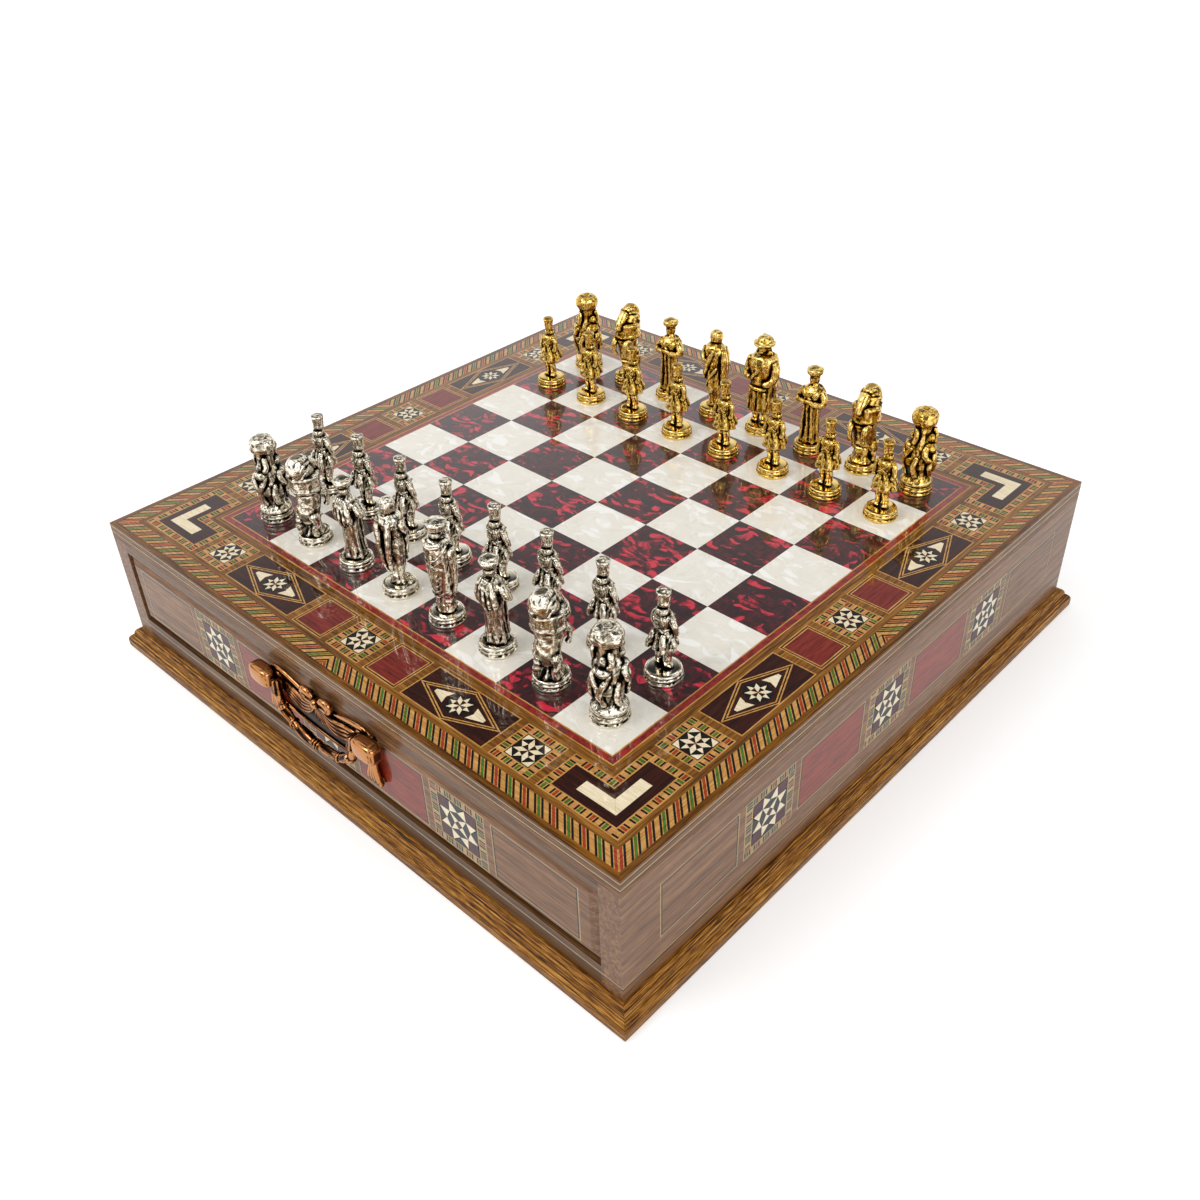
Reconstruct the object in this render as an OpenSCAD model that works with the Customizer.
// Inlaid chess box: a square walnut case with a drawer in the front and one in the back, a marquetry board on top
// and thirty-two standing figures. Millimetres, +Z up, front towards -Y, origin at the middle of the footprint.

/* [Case] */
// Width and depth of the case
body_w = 400; // [340:1:460]
// Height of the whole box, floor to board
box_h = 89.3; // [84:0.1:110]
// Thickness of the top panel
top_t = 10; // [7:0.5:14]
// Thickness of the side boards
wall_t = 12.5; // [10:0.5:15]
// Thickness of the base board
base_t = 6; // [4:0.5:9]
// Thickness of the board between the drawers
divider_t = 8; // [5:0.5:12]
// Height of the rail under a drawer, floor to its top
rail_low = 25.7; // [20:0.1:28]
// Height of the rail above a drawer
rail_high = 5.6; // [4:0.1:8]
// Width of the strips a drawer slides on
runner_w = 12; // [8:0.5:16]
// Height of the strips a drawer slides on
runner_h = 12; // [8:0.5:16]

/* [Moulding] */
// Height of the base moulding
mould_h = 12.5; // [11:0.1:15]
// How far the base moulding stands out
mould_out = 7.8; // [7:0.1:10]

/* [Drawers] */
// Thickness of a drawer front
front_t = 14; // [11:0.5:18]
// Gap round a drawer front
front_gap = 0.8; // [0.4:0.1:1.2]
// Width of the bevel round a drawer front
bevel_w = 4.6; // [3:0.1:4.8]
// Depth of the bevel round a drawer front
bevel_d = 2.5; // [1:0.1:4]
// Thickness of the drawer box boards
box_t = 8; // [5:0.5:10]
// Height of the drawer box boards
box_side_h = 43; // [30:0.5:44]
// Gap beside the drawer box
box_gap = 1.2; // [0.6:0.1:3]
// Running gap under and behind the drawer box
slide_gap = 0.3; // [0.2:0.05:0.6]
// Thickness of the drawer bottom
bottom_t = 4; // [3:0.5:5]
// Depth of the groove that holds the drawer bottom
groove = 4; // [2:0.5:5]
// Thickness of the boards between compartments
part_t = 5; // [3:0.5:8]

/* [Board] */
// Distance from the edge to the playing field
field_edge = 50.3; // [46:0.1:60]
// Thickness of the inlay
veneer = 1; // [0.8:0.1:1.5]
// Width of the ruby border round the field
ruby_w = 3.3; // [2:0.1:3.5]
// Width of a light line
line_w = 0.7; // [0.5:0.05:0.7]
// Glue line between two pieces of one veneer
glue = 0.06; // [0.04:0.01:0.1]
// Distance from the edge to the band of slanted strips
band_edge = 3.6; // [2:0.1:4]
// Width of the band of slanted strips
band_w = 8.2; // [6:0.1:9]
// Pitch of a dark and a coloured strip along the edge
strip_pitch = 4.375; // [4:0.005:6]
// Dark share of the pitch
strip_dark = 1.45; // [1:0.05:2]
// Distance from the edge to the row of tiles
tile_edge = 15.2; // [14:0.1:15.4]
// Width of the row of tiles
tile_w = 25.6; // [24:0.1:27]
// Width of the small mosaic round a tile
mosaic_w = 3.6; // [3:0.1:4]
// Width of a red tile
red_w = 24.2; // [20:0.1:26]
// Walnut left between two tiles
tile_gap = 4.25; // [3:0.05:6]
// Reach of a corner tile from the edge
corner_reach = 63.2; // [60:0.1:63.4]

/* [Side panels] */
// Height of the middle of the side panels
panel_z = 49.7; // [49.4:0.1:50]
// Width of a side star panel
side_star_w = 37.4; // [34:0.1:38]
// Height of a side star panel
side_star_h = 36.4; // [34:0.1:37]
// Width of the star field in a side panel
side_field = 26.2; // [24:0.1:27]
// Distance of an outer side star from the middle
side_star_at = 99.3; // [98:0.1:100]
// Walnut left between two side panels
side_gap = 4.3; // [3:0.1:6]
// Height of a red or plain side panel
side_red_h = 34.4; // [30:0.1:36]
// Distance from the corner of the case to a plain side panel
plain_edge = 24; // [20:0.1:30]
// Distance of the upper line from the board
line_top = 6.6; // [5:0.1:6.9]
// Distance of the rim line from the board
line_rim = 2.7; // [2.2:0.1:3.4]
// Height of the line near the base
line_low_z = 20; // [16:0.1:22]

/* [Handles] */
// Distance of a handle post from the middle
post_x = 43; // [38:0.5:50]
// Height of the handle posts
post_z = 65.3; // [62:0.1:66]
// Size of the square cap on a post
cap_w = 11.5; // [9:0.1:13]
// How far a post stands out
post_out = 9.6; // [9:0.1:12]
// Distance of the bail pin from the drawer face
pin_out = 6.2; // [5.8:0.1:6.6]
// Radius of the bail pin
pin_r = 1.6; // [1.2:0.1:2]
// Running gap round the bail pin
pin_gap = 0.06; // [0.02:0.01:0.1]
// Radius of the bail bar
bail_r = 2.2; // [1.6:0.1:2.4]
// Distance of a bail leg from the middle
bail_x = 33.6; // [32:0.1:34]
// Radius of the knuckle at the top of a bail leg
bail_knuckle = 3; // [2.6:0.1:3.2]
// Radius of the bail shoulders
bail_turn = 9; // [6:0.5:12]
// Turn of the bail shoulders
bail_bend = 65; // [55:1:75]
// Outward lean of the resting bail
bail_lean = 6; // [4:0.5:12]
// Thickness of the back plate
plate_t = 1.5; // [1:0.1:2]
// Radius of a handle bolt
bolt_r = 2; // [1.5:0.1:2.5]

/* [Figures] */
// Radius of a figure's base
foot_r = 9.8; // [8:0.1:12]
// Height of a figure's base
foot_h = 6; // [4:0.1:8]
// Height of a rook
rook_h = 52; // [45:0.5:60]
// Height of a knight
knight_h = 53.5; // [45:0.5:60]
// Height of a bishop
bishop_h = 54.5; // [45:0.5:62]
// Height of a queen
queen_h = 57; // [48:0.5:66]
// Height of the silver king
silver_king_h = 59; // [50:0.5:68]
// Height of the gold king
gold_king_h = 64; // [52:0.5:70]
// Height of a silver pawn
silver_pawn_h = 50; // [40:0.5:56]
// Height of a gold pawn
gold_pawn_h = 47.5; // [40:0.5:56]
// Gap under a standing figure
seat = 0.05; // [0.02:0.01:0.2]

/* [Hidden] */
$fn = 48;
half = body_w / 2;
case_top = box_h - top_t;
open_top = case_top - rail_high;
inner = half - wall_t;
line_top_z = box_h - line_top;
line_rim_z = box_h - line_rim;
field_half = half - field_edge;
square_w = field_half / 4;
star_at = half - corner_reach - tile_gap - tile_w / 2;
red_at = tile_w / 2 + tile_gap + red_w / 2;
loz_w = star_at - tile_w - 3 * tile_gap - red_w;
loz_at = star_at - tile_w / 2 - tile_gap - loz_w / 2;
side_red_a = side_star_w / 2 + side_gap;
side_red_b = side_star_at - side_star_w / 2 - side_gap;
plain_a = side_star_at + side_star_w / 2 + side_gap;
plain_b = half - plain_edge;
tile_y = half - tile_edge - tile_w / 2;
field_r = tile_w / 2 - 2 * line_w - mosaic_w - 0.5;
loz_a = loz_w / 2 - line_w;
loz_b = tile_w / 2 - line_w;
loz_in = loz_a * loz_b / sqrt(loz_a * loz_a + loz_b * loz_b);
front_z0 = rail_low + front_gap;
front_z1 = open_top - front_gap;
front_x = inner - front_gap;
box_x = inner - box_gap;
box_z = rail_low + slide_gap;
box_in = half - front_t;
box_back = divider_t / 2 + slide_gap;
ell_a = tile_edge + tile_w / 2 - 3;
ell_b = tile_edge + tile_w / 2 + 3.6;
ell_reach = corner_reach - 15.2;
bow_z = post_z + 4;
bail_cx = bail_x - bail_turn;
bail_big = bail_turn + bail_cx / cos(bail_bend);
bail_cz = -7.3;
pair_n = floor((half - band_edge - band_w) / strip_pitch);

silver = "#c9c9cc";
gold = "#c9a550";
copper = "#8a5136";
walnut = "#7a4b22";
oak = "#8a5a26";
tan = "#d9a865";
ivory = "#f2ead6";
ruby = "#7a1022";
rose = "#8f3f3c";
black = "#16120f";
plum = "#3a1418";
mosaic = "#9a8a4a";

// ---------- flat shapes ----------

function mid(p) = [for (i = [0:1]) (min([for (q = p) q[i]]) + max([for (q = p) q[i]])) / 2];
function shrink(p, k) = let (c = mid(p)) [for (q = p) c + (q - c) * k];
function at(a, r) = [r * cos(a), r * sin(a)];

module rect(w, h) {
    square([w, h], center = true);
}

module frame(w, h, t) {
    difference() {
        rect(w, h);
        rect(w - 2 * t, h - 2 * t);
    }
}

module piece(p) {
    polygon(shrink(p, 0.985));
}

// an L for a corner tile, measured inwards from the two edges of the board
module ell(a, b, r) {
    translate([half, -half])
        polygon([[-a, a], [-r, a], [-r, b], [-b, b], [-b, r], [-a, r]]);
}

module star_spots() {
    for (k = [0:3])
        rotate(90 * k)
            for (u = [-star_at, 0, star_at])
                translate([u, -tile_y])
                    children();
}

module red_spots() {
    for (k = [0:3])
        rotate(90 * k)
            for (u = [-red_at, red_at])
                translate([u, -tile_y])
                    children();
}

module loz_spots() {
    for (k = [0:3])
        rotate(90 * k)
            for (u = [-loz_at, loz_at])
                translate([u, -tile_y])
                    children();
}

module corner_spots() {
    for (k = [0:3])
        rotate(90 * k)
            children();
}

// the eight-pointed star of the board: four whole diamonds, four split ones
module star_white(r) {
    n = r / 1.848;
    for (k = [0:3]) {
        rotate(22.5 + 90 * k)
            piece([at(0, 0.25), at(22.5, n), at(0, r), at(-22.5, n)]);
        rotate(67.5 + 90 * k)
            piece([at(22.5, n), at(0, r), at(-22.5, n)]);
    }
}

module star_red(r) {
    n = r / 1.848;
    for (k = [0:3])
        rotate(67.5 + 90 * k)
            piece([at(0, 0.25), at(22.5, n), at(-22.5, n)]);
}

module star_hole(r) {
    n = r / 1.848;
    polygon([for (k = [0:15]) at(22.5 * k, k % 2 == 0 ? n : r)]);
}

module octagon(apothem, turn) {
    r = apothem / cos(22.5);
    polygon([for (k = [0:7]) at(22.5 + turn + 45 * k, r)]);
}

// the wedge at an end of a lozenge, hollow towards the star
function fan(m) =
    let (k = 1 - 3 * line_w / loz_in, y = 0.66 * loz_b * k * (1 - 8 / (loz_a * k)), tip = 0.61 * loz_a)
        [[m * 8, y], [m * tip, 0.9], [m * tip, -0.9], [m * 8, -y], [m * 9.5, 0]];

module lozenge(inset) {
    k = 1 - inset / loz_in;
    polygon([[loz_a * k, 0], [0, loz_b * k], [-loz_a * k, 0], [0, -loz_b * k]]);
}

// ---------- slanted strips ----------

function strip(a, w) =
    a >= 0 ? [[a, 0], [a + w, 0], [a + w + band_w, -band_w], [a + band_w, -band_w]] :
    a + w > 0 ? [[0, 0], [a + w, 0], [a + w + band_w, -band_w], [a + band_w, -band_w], [0, a]] :
    [[0, a + w], [a + w + band_w, -band_w], [a + band_w, -band_w], [0, a]];

module strips(from, width) {
    for (k = [0:3])
        rotate(90 * k)
            for (m = [0, 1])
                mirror([m, 0])
                    translate([0, -half + band_edge + band_w])
                        for (i = [from > 0.6 ? -2 : -1:pair_n - 1])
                            polygon(strip(i * strip_pitch + from, width));
}

module inlaid() {
    translate([0, 0, box_h - veneer])
        linear_extrude(veneer)
            children();
}

// ---------- side panels ----------

// carries a flat drawing on to side k of the case, front first
module on_side(k, depth = veneer) {
    rotate(90 * k)
        translate([0, -half + depth, 0])
            rotate([90, 0, 0])
                linear_extrude(depth)
                    children();
}

module side_stars() {
    for (u = [-side_star_at, 0, side_star_at])
        translate([u, panel_z])
            children();
}

module side_reds() {
    for (m = [-1, 1])
        translate([m * (side_red_a + side_red_b) / 2, panel_z])
            children();
}

module side_plains() {
    for (m = [-1, 1])
        translate([m * (plain_a + plain_b) / 2, panel_z])
            children();
}

module side_white() {
    s = side_field;
    tip = 0.51 * s;
    notch = 0.305 * s;
    eye = 0.1 * s;
    for (k = [0:3]) {
        rotate(90 * k) {
            piece([at(22.5, tip), at(0, notch), at(45, notch)]);
            piece([at(67.5, tip), at(90, notch), at(45, notch)]);
            piece([at(45, notch), at(0, eye), at(90, eye)]);
        }
    }
}

module side_plum() {
    s = side_field;
    tip = 0.51 * s;
    notch = 0.305 * s;
    eye = 0.1 * s;
    for (k = [0:3])
        rotate(90 * k)
            piece([[s / 2, s / 2], at(67.5, tip), at(45, notch), at(22.5, tip)]);
    piece([at(0, eye), at(90, eye), at(180, eye), at(270, eye)]);
}

module side_black() {
    s = side_field;
    tip = 0.51 * s;
    notch = 0.305 * s;
    eye = 0.1 * s;
    for (k = [0:3])
        rotate(90 * k) {
            piece([[s / 2, at(22.5, tip)[1]], at(0, notch), [s / 2, -at(22.5, tip)[1]]]);
            piece([at(45, notch), at(0, notch), at(-45, notch), at(0, eye)]);
        }
}

module side_pockets() {
    side_stars()
        rect(side_star_w, side_star_h);
    side_reds()
        rect(side_red_b - side_red_a, side_red_h);
    side_plains()
        frame(plain_b - plain_a, side_red_h, 2 * line_w);
}

module side_tan() {
    side_stars() {
        frame(side_star_w, side_star_h, line_w);
        frame(side_field + 2 * line_w, side_field + 2 * line_w, line_w);
    }
    side_reds()
        frame(side_red_b - side_red_a, side_red_h, line_w);
    side_plains()
        frame(plain_b - plain_a, side_red_h, line_w);
}

module side_lines() {
    side_reds()
        frame(side_red_b - side_red_a - 2 * line_w, side_red_h - 2 * line_w, line_w);
    side_plains()
        frame(plain_b - plain_a - 2 * line_w, side_red_h - 2 * line_w, line_w);
}

module side_red() {
    side_reds()
        rect(side_red_b - side_red_a - 4 * line_w, side_red_h - 4 * line_w);
}

module side_mosaic() {
    side_stars()
        difference() {
            rect(side_star_w - 2 * line_w, side_star_h - 2 * line_w);
            rect(side_field + 2 * line_w, side_field + 2 * line_w);
        }
}

// a line let in all round the case
module girdle(z, h) {
    translate([0, 0, z])
        linear_extrude(h)
            frame(body_w, body_w, veneer);
}

// ---------- case ----------

module base_board() {
    color(walnut)
        translate([-half, -half, 0])
            cube([body_w, body_w, base_t]);
}

module mould_profile() {
    difference() {
        union() {
            square([mould_out, 3.6]);
            square([mould_out - 3.4, 8.4]);
            translate([mould_out - 4.8, 3.6])
                circle(4.8);
            square([1.2, mould_h]);
            translate([0.4, 8.4])
                circle(mould_h - 8.4);
        }
        translate([-10, -1])
            square([10, 30]);
        translate([-1, -10])
            square([30, 10]);
        translate([-1, mould_h])
            square([30, 10]);
    }
}

module base_moulding() {
    color(oak)
        for (k = [0:3])
            rotate(90 * k)
                intersection() {
                    translate([-half - 20, -half, 0])
                        rotate([90, 0, 90])
                            linear_extrude(body_w + 40)
                                mirror([1, 0])
                                    mould_profile();
                    linear_extrude(mould_h + 1)
                        polygon([[-20, -20 - glue], [20, -20 - glue], [half + 30, -half - 30 - glue],
                            [-half - 30, -half - 30 - glue]]);
                }
}

module case_sides() {
    color(walnut)
        difference() {
            for (m = [-1, 1])
                translate([m > 0 ? inner : -half, -half, base_t])
                    cube([wall_t, body_w, case_top - base_t]);
            for (k = [1, 3])
                on_side(k, veneer)
                    side_pockets();
            girdle(line_low_z, 2 * line_w);
        }
}

module case_rails() {
    color(walnut)
        difference() {
            for (k = [0, 1])
                rotate(180 * k) {
                    translate([-inner, -half, base_t])
                        cube([2 * inner, wall_t, rail_low - base_t]);
                    translate([-inner, -half, open_top])
                        cube([2 * inner, wall_t, rail_high]);
                }
            girdle(line_low_z, 2 * line_w);
        }
}

module centre_divider() {
    color(walnut)
        translate([-inner, -divider_t / 2, base_t])
            cube([2 * inner, divider_t, case_top - base_t]);
}

module drawer_runners() {
    run = inner - divider_t / 2;
    kick = box_z + box_side_h + 0.7;
    color(oak)
        for (k = [0, 1])
            rotate(180 * k)
                for (m = [-1, 1]) {
                    translate([m > 0 ? inner - runner_w : -inner, -inner, rail_low - runner_h])
                        cube([runner_w, run, runner_h]);
                    translate([m > 0 ? inner - runner_w : -inner, -box_in + 4, kick])
                        cube([runner_w, box_in - 4 - divider_t / 2, case_top - kick]);
                }
}

// everything let into the top, as one drawing
module top_pockets() {
    rect(2 * (field_half + 2 * line_w + ruby_w), 2 * (field_half + 2 * line_w + ruby_w));
    frame(body_w - 2 * band_edge, body_w - 2 * band_edge, band_w);
    star_spots()
        rect(tile_w, tile_w);
    red_spots()
        rect(red_w, tile_w);
    loz_spots()
        rect(loz_w, tile_w);
    corner_spots()
        ell(tile_edge, tile_edge + tile_w, corner_reach);
}

module top_panel() {
    color(walnut)
        difference() {
            translate([-half, -half, case_top])
                cube([body_w, body_w, top_t]);
            translate([0, 0, box_h - veneer])
                linear_extrude(veneer + 1)
                    top_pockets();
            girdle(line_top_z, 2 * line_w);
            girdle(line_rim_z, 2 * line_w);
        }
}

module light_squares() {
    color(ivory)
        inlaid()
            for (i = [0:7])
                for (j = [0:7])
                    if ((i + j) % 2 == 1)
                        translate([(i - 3.5) * square_w, (j - 3.5) * square_w])
                            rect(square_w - glue, square_w - glue);
}

module ruby_inlays() {
    color(ruby)
        inlaid() {
            for (i = [0:7])
                for (j = [0:7])
                    if ((i + j) % 2 == 0)
                        translate([(i - 3.5) * square_w, (j - 3.5) * square_w])
                            rect(square_w - glue, square_w - glue);
            frame(2 * (field_half + line_w + ruby_w), 2 * (field_half + line_w + ruby_w), ruby_w);
        }
}

module stringing() {
    color(tan) {
        inlaid() {
            frame(2 * (field_half + line_w), 2 * (field_half + line_w), line_w);
            frame(2 * (field_half + 2 * line_w + ruby_w), 2 * (field_half + 2 * line_w + ruby_w), line_w);
            star_spots() {
                frame(tile_w, tile_w, line_w);
                frame(tile_w - 2 * (line_w + mosaic_w), tile_w - 2 * (line_w + mosaic_w), line_w);
            }
            red_spots() {
                frame(red_w, tile_w, line_w);
                frame(red_w - 4 * line_w, tile_w - 4 * line_w, line_w);
            }
            loz_spots() {
                frame(loz_w, tile_w, line_w);
                difference() {
                    lozenge(0);
                    lozenge(line_w);
                }
                difference() {
                    lozenge(2 * line_w);
                    lozenge(3 * line_w);
                }
            }
            corner_spots() {
                difference() {
                    ell(tile_edge, tile_edge + tile_w, corner_reach);
                    ell(tile_edge + line_w, tile_edge + tile_w - line_w, corner_reach - line_w);
                }
                difference() {
                    ell(tile_edge + line_w + mosaic_w, tile_edge + tile_w - line_w - mosaic_w,
                        corner_reach - line_w - mosaic_w);
                    ell(tile_edge + 2 * line_w + mosaic_w, tile_edge + tile_w - 2 * line_w - mosaic_w,
                        corner_reach - 2 * line_w - mosaic_w);
                }
            }
        }
        for (k = [1, 3])
            on_side(k)
                side_tan();
        girdle(line_low_z + line_w, line_w);
        girdle(line_top_z + line_w, line_w);
        girdle(line_rim_z + line_w, line_w);
    }
}

module lozenge_star_turn() {
    rotate(22.5)
        children();
}

module ivory_inlays() {
    color(ivory) {
        inlaid() {
            star_spots() {
                star_white(field_r + 0.1);
                for (k = [0:3])
                    rotate(90 * k)
                        piece([[field_r, field_r], [field_r, field_r * 0.414], [field_r * 0.414, field_r]]);
            }
            loz_spots() {
                lozenge_star_turn()
                    star_white(6.6);
                for (m = [-1, 1])
                    piece(fan(m));
            }
            corner_spots()
                difference() {
                    ell(ell_a, ell_b, ell_reach);
                    translate([half - (ell_a + ell_b) / 2, -half + (ell_a + ell_b) / 2])
                        rotate(45)
                            square([glue, 40], center = true);
                }
        }
        for (k = [1, 3])
            on_side(k)
                side_stars()
                    side_white();
    }
}

module ebony_inlays() {
    color(black) {
        inlaid() {
            strips(0, strip_dark);
            star_spots()
                difference() {
                    octagon(field_r, 0);
                    star_hole(field_r + 0.1);
                }
            red_spots()
                frame(red_w - 2 * line_w, tile_w - 2 * line_w, line_w);
            loz_spots() {
                difference() {
                    lozenge(line_w);
                    lozenge(2 * line_w);
                }
                difference() {
                    octagon(6.9, 22.5);
                    lozenge_star_turn()
                        star_hole(6.6);
                }
            }
        }
        for (k = [1, 3])
            on_side(k) {
                side_stars()
                    side_black();
                side_lines();
            }
        girdle(line_low_z, line_w);
        girdle(line_top_z, line_w);
        girdle(line_rim_z, line_w);
    }
}

module rosewood_inlays() {
    color(rose) {
        inlaid()
            red_spots()
                rect(red_w - 6 * line_w, tile_w - 6 * line_w);
        for (k = [1, 3])
            on_side(k)
                side_red();
    }
}

module dark_walnut_inlays() {
    color(plum) {
        inlaid() {
            star_spots() {
                star_red(field_r + 0.1);
                frame(2 * field_r + 1, 2 * field_r + 1, 0.5);
            }
            loz_spots() {
                difference() {
                    rect(loz_w - 2 * line_w, tile_w - 2 * line_w);
                    lozenge(0);
                }
                difference() {
                    lozenge(3 * line_w);
                    octagon(6.9, 22.5);
                    for (m = [-1, 1])
                        polygon(fan(m));
                }
                lozenge_star_turn()
                    star_red(6.6);
            }
            corner_spots()
                difference() {
                    ell(tile_edge + 2 * line_w + mosaic_w, tile_edge + tile_w - 2 * line_w - mosaic_w,
                        corner_reach - 2 * line_w - mosaic_w);
                    ell(ell_a, ell_b, ell_reach);
                }
        }
        for (k = [1, 3])
            on_side(k)
                side_stars()
                    side_plum();
    }
}

module mosaic_bands() {
    color(mosaic) {
        inlaid() {
            star_spots()
                frame(tile_w - 2 * line_w, tile_w - 2 * line_w, mosaic_w);
            corner_spots()
                difference() {
                    ell(tile_edge + line_w, tile_edge + tile_w - line_w, corner_reach - line_w);
                    ell(tile_edge + line_w + mosaic_w, tile_edge + tile_w - line_w - mosaic_w,
                        corner_reach - line_w - mosaic_w);
                }
        }
        for (k = [1, 3])
            on_side(k)
                side_mosaic();
    }
}

module edge_strips() {
    color(tan)
        inlaid()
            strips(strip_dark, strip_pitch - strip_dark);
}

// ---------- drawers ----------

module bolt_holes(r) {
    for (m = [-1, 1])
        translate([m * post_x, -half - 1, post_z])
            rotate([-90, 0, 0])
                cylinder(r = r, h = front_t + 2);
}

module drawer_front() {
    color(walnut)
        difference() {
            intersection() {
                translate([-front_x, 0, 0])
                    rotate([90, 0, 90])
                        linear_extrude(2 * front_x)
                            polygon([[-box_in, front_z0], [-box_in, front_z1], [-half + bevel_d, front_z1],
                                [-half, front_z1 - bevel_w], [-half, front_z0 + bevel_w],
                                [-half + bevel_d, front_z0]]);
                translate([0, 0, front_z0 - 1])
                    linear_extrude(front_z1 - front_z0 + 2)
                        polygon([[-front_x, -box_in], [front_x, -box_in], [front_x, -half + bevel_d],
                            [front_x - bevel_w, -half], [-front_x + bevel_w, -half],
                            [-front_x, -half + bevel_d]]);
            }
            on_side(0)
                side_pockets();
            bolt_holes(bolt_r + pin_gap);
            translate([-box_x + box_t - groove, -box_in - groove, box_z + 3])
                cube([2 * (box_x - box_t + groove), groove + 1, bottom_t]);
        }
}

module drawer_inlays() {
    color(rose)
        difference() {
            on_side(0) {
                side_stars() {
                    side_white();
                    side_plum();
                    side_black();
                }
                side_tan();
                side_red();
                side_reds()
                    frame(side_red_b - side_red_a - 2 * line_w - glue, side_red_h - 2 * line_w - glue, line_w - glue);
                side_plains()
                    frame(plain_b - plain_a - 2 * line_w - glue, side_red_h - 2 * line_w - glue, line_w - glue);
                side_stars()
                    difference() {
                        rect(side_star_w - 2 * line_w - glue, side_star_h - 2 * line_w - glue);
                        rect(side_field + 2 * line_w + glue, side_field + 2 * line_w + glue);
                    }
            }
            bolt_holes(bolt_r + pin_gap);
        }
}

module drawer_box() {
    length = box_in - box_back;
    color(oak)
        difference() {
            union() {
                for (m = [-1, 1])
                    translate([m > 0 ? box_x - box_t : -box_x, -box_in, box_z])
                        cube([box_t, length, box_side_h]);
                translate([-box_x, -box_back - box_t, box_z])
                    cube([2 * box_x, box_t, box_side_h]);
                for (u = [-1, 0, 1])
                    translate([u * box_x / 2 - part_t / 2, -box_in, box_z + 3 + bottom_t])
                        cube([part_t, length, box_side_h - 3 - bottom_t - 6]);
            }
            translate([-box_x + box_t - groove, -box_in - 1, box_z + 3])
                cube([2 * (box_x - box_t + groove), length - box_t + groove + 1, bottom_t]);
        }
}

module drawer_bottom() {
    color(tan)
        translate([-box_x + box_t - groove, -box_in - groove, box_z + 3])
            cube([2 * (box_x - box_t + groove), box_in - box_back - box_t + 2 * groove, bottom_t]);
}

// ---------- handles ----------

function sag(a, b, drop, t) = a + (b - a) * t - [0, drop * 4 * t * (1 - t)];

// a hanging ribbon between two points, w high
module ribbon(a, b, drop, w) {
    n = 14;
    polygon(concat([for (i = [0:n]) sag(a, b, drop, i / n) + [0, w / 2]],
        [for (i = [n:-1:0]) sag(a, b, drop, i / n) - [0, w / 2]]));
}

// flat metal on the face of the drawer
module on_face(t) {
    translate([0, -half, 0])
        rotate([90, 0, 0])
            linear_extrude(t)
                children();
}

module handle_mount() {
    color(copper)
        difference() {
            union() {
                on_face(plate_t) {
                    for (m = [-1, 1]) {
                        ribbon([m * post_x, post_z], [m * 6, bow_z + 0.2], -1.2, 2.4);
                        ribbon([m * post_x, post_z - 2], [m * 4, bow_z - 5.3], 9, 4.5);
                        translate([m * post_x, post_z])
                            polygon([[-m * 2.2, 0], [m * 2.2, 0], [m, -18.3], [m * 2, -24.8], [-m * 3, -27],
                                [-m * 8, -24.8], [-m * 3.5, -18.3]]);
                    }
                    ribbon([-post_x + 3, post_z - 17.8], [post_x - 3, post_z - 17.8], 3.2, 2);
                    translate([0, bow_z]) {
                        circle(4.6);
                        for (m = [-1, 1])
                            translate([m * 7, 0.7])
                                circle(4.3);
                        polygon([[-3, -1.3], [3, -1.3], [6.5, -15.3], [0, -18.3], [-6.5, -15.3]]);
                    }
                }
                translate([0, -half, bow_z])
                    sphere(3.4);
                for (m = [-1, 1])
                    translate([m * post_x, -half, post_z]) {
                        rotate([90, 0, 0])
                            cylinder(r = 4, h = 4);
                        translate([-cap_w / 2, -post_out, -cap_w / 2])
                            cube([cap_w, post_out - 3, cap_w]);
                        rotate([-90, 0, 0])
                            cylinder(r = bolt_r, h = front_t + 4);
                        translate([0, front_t, 0])
                            rotate([-90, 0, 0])
                                cylinder(r = 4, h = 3, $fn = 6);
                    }
            }
            translate([0, -half, bow_z])
                rotate([-90, 0, 0])
                    cylinder(r = 6, h = 6);
            for (m = [-1, 1])
                translate([m * (post_x - cap_w / 2 - 1), -half - pin_out, post_z])
                    rotate([0, m * 90, 0])
                        cylinder(r = pin_r + pin_gap, h = 5);
        }
}

module handle_bail() {
    color(copper)
        translate([0, -half - pin_out, post_z])
            rotate([-bail_lean, 0, 0]) {
                for (m = [0, 180])
                    rotate(m) {
                        translate([bail_x, 0, 0]) {
                            sphere(bail_knuckle);
                            rotate([0, 90, 0])
                                cylinder(r = pin_r, h = post_x - cap_w / 2 + 3.5 - bail_x);
                        }
                        translate([bail_x, 0, bail_cz - 1])
                            cylinder(r = bail_r, h = 1 - bail_cz);
                        translate([bail_cx, 0, bail_cz])
                            rotate([90, bail_bend, 0])
                                rotate_extrude(angle = bail_bend)
                                    translate([bail_turn, 0])
                                        circle(bail_r + 0.3);
                    }
                translate([0, 0, bail_cz + (bail_big - bail_turn) * sin(bail_bend)])
                    rotate([90, 181 - bail_bend, 0])
                        rotate_extrude(angle = 182 - 2 * bail_bend)
                            translate([bail_big, 0])
                                circle(bail_r);
            }
}

// ---------- figures ----------

module foot() {
    rotate_extrude()
        polygon([[0, 0], [foot_r, 0], [foot_r, foot_h * 0.3], [foot_r - 1.1, foot_h * 0.42],
            [foot_r - 1.1, foot_h * 0.66], [foot_r - 2.3, foot_h * 0.76], [foot_r - 2.3, foot_h], [0, foot_h]]);
}

// a straight limb between two points
module limb(a, b, ra, rb) {
    d = b - a;
    translate(a)
        rotate([0, acos(d[2] / norm(d)), atan2(d[1], d[0])])
            cylinder(r1 = ra, r2 = rb, h = norm(d));
}

module turned(p) {
    rotate_extrude()
        polygon(p);
}

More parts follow.
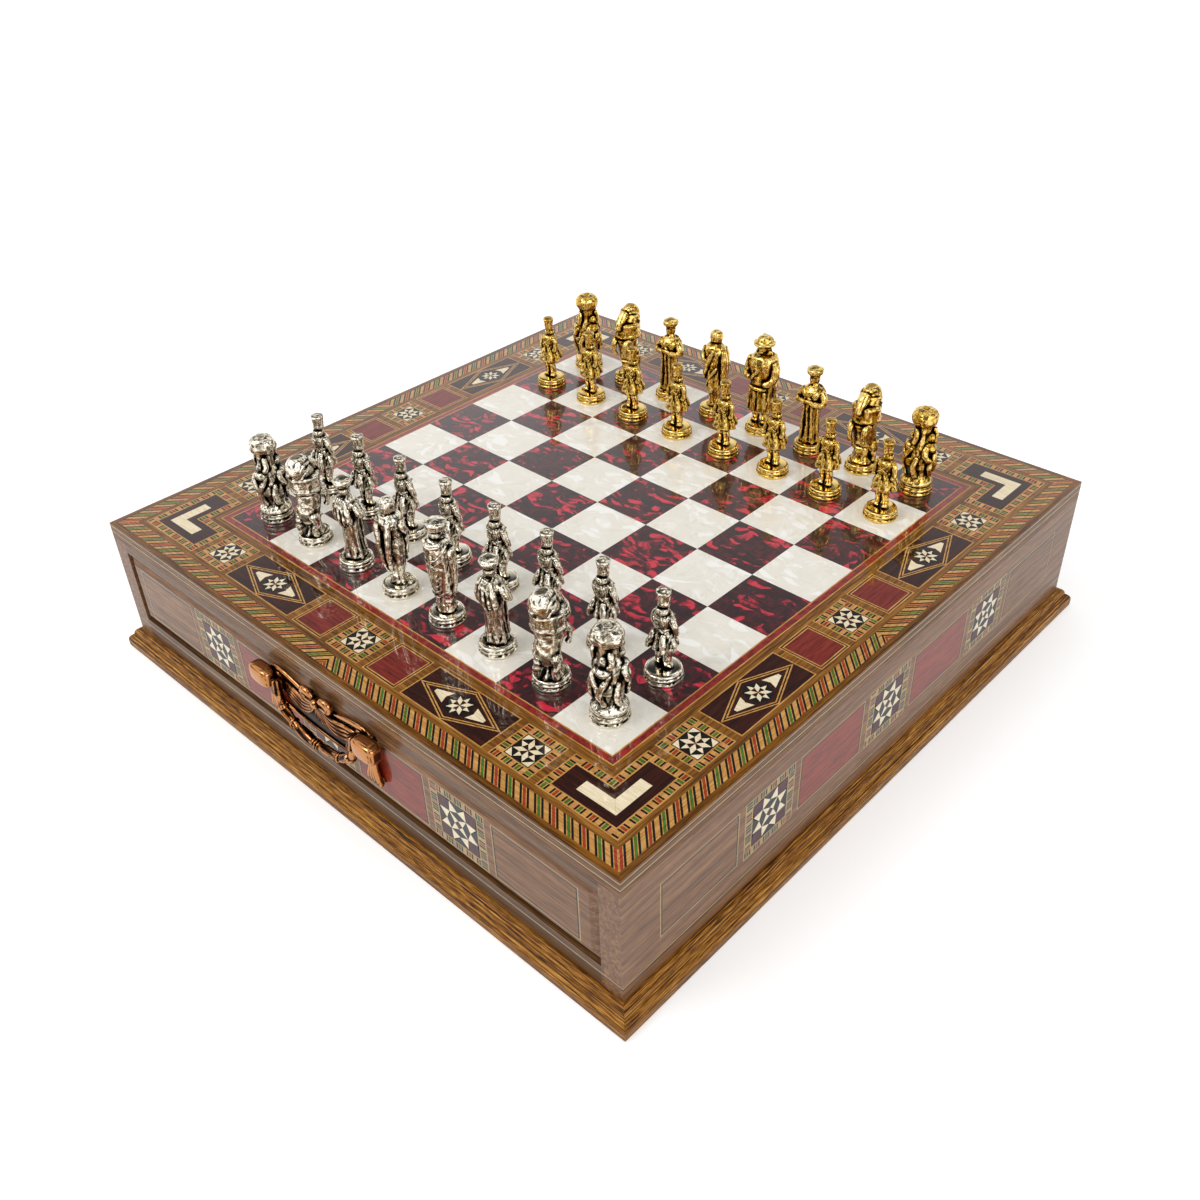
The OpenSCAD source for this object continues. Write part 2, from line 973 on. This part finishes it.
// the figures are drawn 50 high and taken to their own height from the base up
module figure(h) {
    foot();
    translate([0, 0, foot_h])
        scale((h - foot_h) / 44)
            translate([0, 0, -6])
                children();
}

module rook(h) {
    figure(h) {
        turned([[0, 5.9], [8.8, 5.9], [8.6, 9], [7.2, 11.2], [6.2, 11.8], [6.2, 14], [7, 17], [7.6, 21], [7, 26],
            [6.2, 29], [5.6, 32], [4.6, 36], [5.2, 38.5], [6.2, 40.5], [7, 42.6], [7, 45], [5.6, 46.4], [2.4, 47.2],
            [2, 49], [1.2, 50], [0, 50]]);
        for (k = [0:5])
            rotate(60 * k)
                translate([6.2, 0, 22])
                    sphere(2.7);
    }
}

module knight(h) {
    figure(h) {
        turned([[0, 5.9], [6.8, 5.9], [5.4, 7.6], [4.8, 10], [5.4, 13], [0, 13]]);
        limb([0, -1.5, 13], [0, 1, 30], 5.6, 6.6);
        limb([0, 0.5, 29], [0, -1.5, 42], 6.4, 4.6);
        translate([0, -1.6, 42])
            sphere(4.9);
        limb([0, -1.5, 43], [0, -2.6, 47.2], 4.4, 2.6);
        translate([0, -2.6, 47.1])
            sphere(2.9);
        limb([0, -0.4, 42], [0, 8.2, 36.2], 3.6, 1.9);
        for (m = [-1, 1]) {
            limb([m * 3.2, 2, 28], [m * 3.2, 8, 26], 2, 1.3);
            limb([m * 3.2, 7.4, 26.6], [m * 3.2, 7.4, 20], 1.4, 1.1);
            limb([m * 3.6, -3, 18], [m * 4.4, -4.6, 5.8], 2.4, 1.5);
        }
    }
}

module arms(z, reach, low, r) {
    for (m = [-1, 1]) {
        limb([m * 3.6, 0, z], [m * reach, 1, low], r, r * 0.8);
        translate([m * reach, 1, low])
            sphere(r * 0.86);
        limb([m * reach, 1, low], [m * 1.2, 4.4, low + 1], r * 0.8, r * 0.6);
    }
}

module bishop(h) {
    figure(h) {
        turned([[0, 5.9], [5.8, 5.9], [5.6, 9], [5.1, 16], [5.2, 24], [5.6, 30], [5.9, 35], [4.6, 38], [2, 39.4],
            [1.9, 41.6], [0, 41.6]]);
        arms(36, 6.6, 30, 1.9);
        translate([0, 0.2, 43])
            sphere(2.7);
        translate([0, 0, 46.3])
            sphere(3.7);
    }
}

module queen(h) {
    figure(h) {
        turned([[0, 5.9], [4.4, 5.9], [3.4, 8], [4.2, 14], [5.4, 22], [5.2, 28], [4.6, 31], [6.2, 37], [6.6, 39.4],
            [4.4, 42], [1.9, 43], [1.7, 44.4], [0, 44.4]]);
        arms(38, 6.1, 31, 1.6);
        translate([0, 0, 46.6])
            sphere(3.2);
        translate([0, 0.3, 49.2])
            sphere(0.8);
    }
}

module silver_king(h) {
    figure(h) {
        turned([[0, 5.9], [4.6, 5.9], [4.8, 12], [5.6, 18], [6.7, 24], [5.6, 30], [5.4, 33], [6.6, 38], [5.6, 41],
            [2, 42], [1.9, 43.4], [0, 43.4]]);
        arms(38, 6.2, 31, 1.7);
        translate([0, 0, 44.6])
            sphere(2.5);
        turned([[0, 45.6], [2.8, 45.6], [3.9, 47.4], [4.1, 48.6], [2.2, 49.5], [0, 50]]);
    }
}

module gold_king(h) {
    figure(h) {
        for (m = [-1, 1])
            limb([m * 2.4, 0, 5.8], [m * 2.6, 0, 15], 1.9, 2.2);
        turned([[0, 13.4], [6, 13.4], [5.8, 17], [5, 24], [4.6, 28], [5.8, 33], [6.6, 37], [5, 40], [2, 41],
            [1.8, 42.6], [0, 42.6]]);
        limb([0, -2.6, 39], [0, -4.4, 12], 4, 4.6);
        arms(37, 6.4, 30, 1.8);
        translate([0, 0.2, 43.8])
            sphere(2.5);
        turned([[0, 45], [4.2, 45], [4.2, 45.8], [2.9, 46.2], [2.7, 49], [1.2, 50], [0, 50]]);
    }
}

module pawn(h) {
    figure(h) {
        for (m = [-1, 1])
            limb([m * 2.3, 0, 5.8], [m * 2.5, 0, 15.4], 1.8, 2.1);
        turned([[0, 14], [6.6, 14], [6.2, 16.4], [5, 23], [4.4, 27], [4.8, 32], [5.2, 35.6], [4, 37.6], [1.9, 38.4],
            [1.8, 39.6], [0, 39.6]]);
        for (m = [-1, 1])
            limb([m * 4.9, 0, 35.4], [m * 6, 1.4, 24], 1.6, 1.3);
        limb([6.4, 2.2, 5.9], [6.4, 2.2, 40], 0.9, 0.7);
        translate([0, 0, 40.8])
            sphere(2.5);
        turned([[0, 42], [3.5, 42], [3.3, 43], [3.1, 46], [3.4, 49.4], [0, 50]]);
    }
}

module stand(file, rank, turn) {
    translate([(file - 3.5) * square_w, (rank - 3.5) * square_w, box_h + seat])
        rotate(turn)
            children();
}

module front_drawer_front() {
    drawer_front();
}

module front_drawer_inlays() {
    drawer_inlays();
}

module front_drawer_box() {
    drawer_box();
}

module front_drawer_bottom() {
    drawer_bottom();
}

module front_handle_mount() {
    handle_mount();
}

module front_handle_bail() {
    handle_bail();
}

module back_drawer_front() {
    rotate(180)
        drawer_front();
}

module back_drawer_inlays() {
    rotate(180)
        drawer_inlays();
}

module back_drawer_box() {
    rotate(180)
        drawer_box();
}

module back_drawer_bottom() {
    rotate(180)
        drawer_bottom();
}

module back_handle_mount() {
    rotate(180)
        handle_mount();
}

module back_handle_bail() {
    rotate(180)
        handle_bail();
}

module silver_rook_a() {
    color(silver)
        stand(0, 0, 0)
            rook(rook_h);
}

module silver_knight_b() {
    color(silver)
        stand(1, 0, 0)
            knight(knight_h);
}

module silver_bishop_c() {
    color(silver)
        stand(2, 0, 0)
            bishop(bishop_h);
}

module silver_queen_d() {
    color(silver)
        stand(3, 0, 0)
            queen(queen_h);
}

module silver_king_e() {
    color(silver)
        stand(4, 0, 0)
            silver_king(silver_king_h);
}

module silver_bishop_f() {
    color(silver)
        stand(5, 0, 0)
            bishop(bishop_h);
}

module silver_knight_g() {
    color(silver)
        stand(6, 0, 0)
            knight(knight_h);
}

module silver_rook_h() {
    color(silver)
        stand(7, 0, 0)
            rook(rook_h);
}

module silver_pawn_a() {
    color(silver)
        stand(0, 1, 0)
            pawn(silver_pawn_h);
}

module silver_pawn_b() {
    color(silver)
        stand(1, 1, 0)
            pawn(silver_pawn_h);
}

module silver_pawn_c() {
    color(silver)
        stand(2, 1, 0)
            pawn(silver_pawn_h);
}

module silver_pawn_d() {
    color(silver)
        stand(3, 1, 0)
            pawn(silver_pawn_h);
}

module silver_pawn_e() {
    color(silver)
        stand(4, 1, 0)
            pawn(silver_pawn_h);
}

module silver_pawn_f() {
    color(silver)
        stand(5, 1, 0)
            pawn(silver_pawn_h);
}

module silver_pawn_g() {
    color(silver)
        stand(6, 1, 0)
            pawn(silver_pawn_h);
}

module silver_pawn_h() {
    color(silver)
        stand(7, 1, 0)
            pawn(silver_pawn_h);
}

module gold_rook_a() {
    color(gold)
        stand(0, 7, 180)
            rook(rook_h);
}

module gold_knight_b() {
    color(gold)
        stand(1, 7, 180)
            knight(knight_h);
}

module gold_bishop_c() {
    color(gold)
        stand(2, 7, 180)
            bishop(bishop_h);
}

module gold_queen_d() {
    color(gold)
        stand(3, 7, 180)
            queen(queen_h);
}

module gold_king_e() {
    color(gold)
        stand(4, 7, 180)
            gold_king(gold_king_h);
}

module gold_bishop_f() {
    color(gold)
        stand(5, 7, 180)
            bishop(bishop_h);
}

module gold_knight_g() {
    color(gold)
        stand(6, 7, 180)
            knight(knight_h);
}

module gold_rook_h() {
    color(gold)
        stand(7, 7, 180)
            rook(rook_h);
}

module gold_pawn_a() {
    color(gold)
        stand(0, 6, 180)
            pawn(gold_pawn_h);
}

module gold_pawn_b() {
    color(gold)
        stand(1, 6, 180)
            pawn(gold_pawn_h);
}

module gold_pawn_c() {
    color(gold)
        stand(2, 6, 180)
            pawn(gold_pawn_h);
}

module gold_pawn_d() {
    color(gold)
        stand(3, 6, 180)
            pawn(gold_pawn_h);
}

module gold_pawn_e() {
    color(gold)
        stand(4, 6, 180)
            pawn(gold_pawn_h);
}

module gold_pawn_f() {
    color(gold)
        stand(5, 6, 180)
            pawn(gold_pawn_h);
}

module gold_pawn_g() {
    color(gold)
        stand(6, 6, 180)
            pawn(gold_pawn_h);
}

module gold_pawn_h() {
    color(gold)
        stand(7, 6, 180)
            pawn(gold_pawn_h);
}

base_board();
base_moulding();
case_sides();
case_rails();
centre_divider();
drawer_runners();
top_panel();
light_squares();
ruby_inlays();
stringing();
ivory_inlays();
ebony_inlays();
rosewood_inlays();
dark_walnut_inlays();
mosaic_bands();
edge_strips();
front_drawer_front();
front_drawer_inlays();
front_drawer_box();
front_drawer_bottom();
front_handle_mount();
front_handle_bail();
back_drawer_front();
back_drawer_inlays();
back_drawer_box();
back_drawer_bottom();
back_handle_mount();
back_handle_bail();
silver_rook_a();
silver_knight_b();
silver_bishop_c();
silver_queen_d();
silver_king_e();
silver_bishop_f();
silver_knight_g();
silver_rook_h();
silver_pawn_a();
silver_pawn_b();
silver_pawn_c();
silver_pawn_d();
silver_pawn_e();
silver_pawn_f();
silver_pawn_g();
silver_pawn_h();
gold_rook_a();
gold_knight_b();
gold_bishop_c();
gold_queen_d();
gold_king_e();
gold_bishop_f();
gold_knight_g();
gold_rook_h();
gold_pawn_a();
gold_pawn_b();
gold_pawn_c();
gold_pawn_d();
gold_pawn_e();
gold_pawn_f();
gold_pawn_g();
gold_pawn_h();
